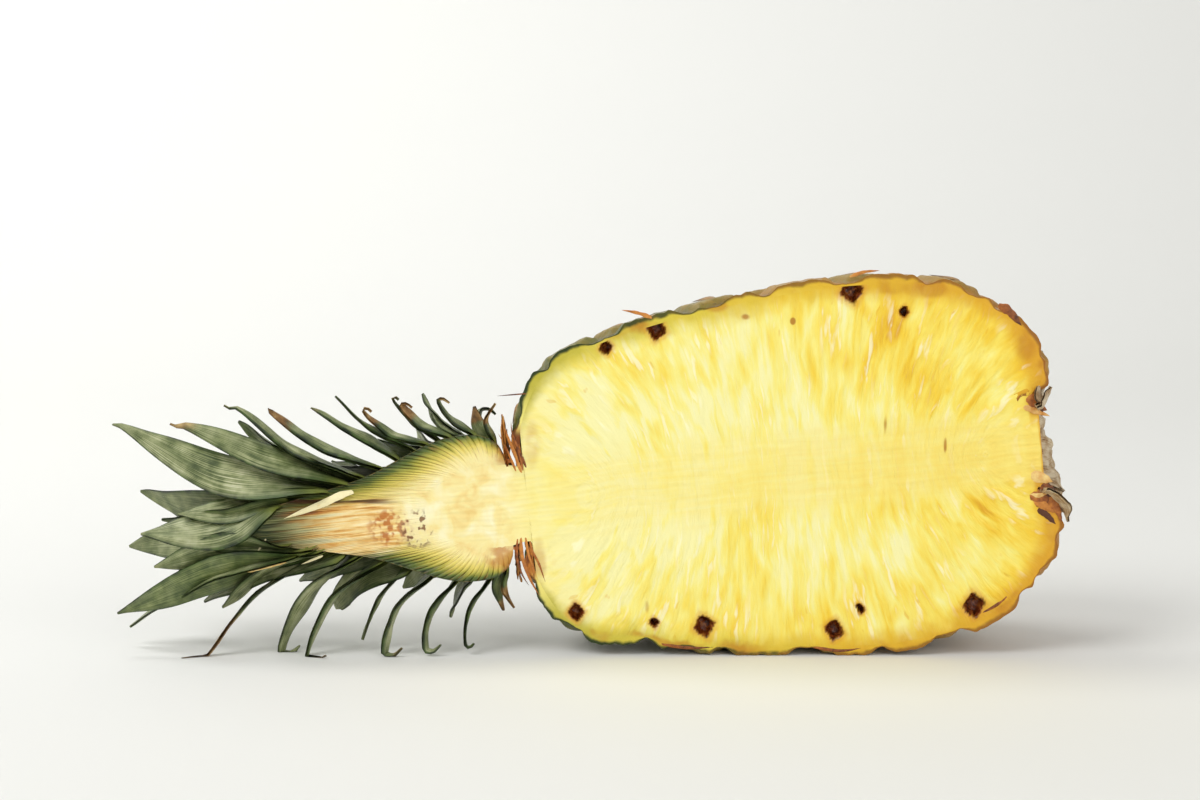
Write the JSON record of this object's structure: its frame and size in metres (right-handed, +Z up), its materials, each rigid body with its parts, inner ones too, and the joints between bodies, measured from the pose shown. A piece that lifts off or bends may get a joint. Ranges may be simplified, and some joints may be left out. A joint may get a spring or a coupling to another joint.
{
  "type": "pineapple half",
  "caption": "Half of a ripe pineapple cut lengthwise with its leafy crown, lying on its rind with the juicy yellow cut face upright",
  "frame": {"origin": "centre of the bounding box's footprint, on the surface that the fruit lies on", "axes": "+X along the half fruit from the crown's leaf tips to the fruit's base, -Y the side that the cut face looks to, +Z up"},
  "size_m": [0.3206, 0.07, 0.1291],
  "materials": {
    "flesh": "satin",
    "rind": "satin",
    "leaf": "satin",
    "neck_bract": "matte",
    "dry_scale": "matte"
  },
  "bodies": {
    "root": {"flesh_core_and_stem": "flesh", "rind": "rind", "crown_leaves": "leaf", "neck_bracts": "neck_bract", "base_scales": "dry_scale"}
  },
  "joints": []
}
